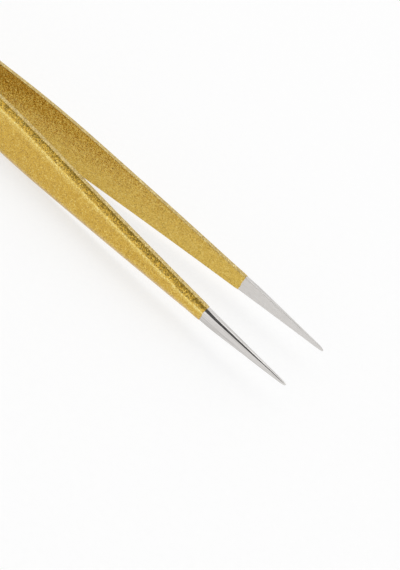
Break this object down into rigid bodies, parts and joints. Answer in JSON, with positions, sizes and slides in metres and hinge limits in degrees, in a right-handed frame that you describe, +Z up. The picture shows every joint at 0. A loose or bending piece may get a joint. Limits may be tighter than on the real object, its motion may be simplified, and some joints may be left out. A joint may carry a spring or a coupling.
{
  "type": "fine-pointed spring tweezers",
  "caption": "Spring tweezers with straight, needle-fine bare steel points and a gold glitter coat over the grips and butt, for lash and nail work.",
  "frame": {"origin": "on the surface that the blades' lower edges rest on, half way from butt to points, on the centre plane between the blades", "axes": "+X from the butt to the points, +Y the way the points open, towards blade b, +Z up across the width of the blades"},
  "size_m": [0.14, 0.0158, 0.0104],
  "materials": {
    "blade_steel": "polished outside, satin inside",
    "weld_steel": "as welded",
    "glitter_coat": "fine gold glitter"
  },
  "bodies": {
    "butt": {"butt_leaf_a": "blade_steel", "butt_leaf_b": "blade_steel", "weld_nuggets": "weld_steel", "butt_coat": "glitter_coat"},
    "arm_a": {"blade_a": "blade_steel", "coat_a": "glitter_coat"},
    "arm_b": {"blade_b": "blade_steel", "coat_b": "glitter_coat"}
  },
  "joints": [
    {"name": "flex_a", "type": "hinge", "parent": "butt", "child": "arm_a", "pos_m": [-0.037, -0.002, 0.00518], "axis": [0, 0, 1], "range_deg": [0, 3.67], "stiffness_Nm_per_rad": 1},
    {"name": "flex_b", "type": "hinge", "parent": "butt", "child": "arm_b", "pos_m": [-0.037, 0.002, 0.00518], "axis": [0, 0, -1], "range_deg": [0, 3.67], "stiffness_Nm_per_rad": 1}
  ]
}
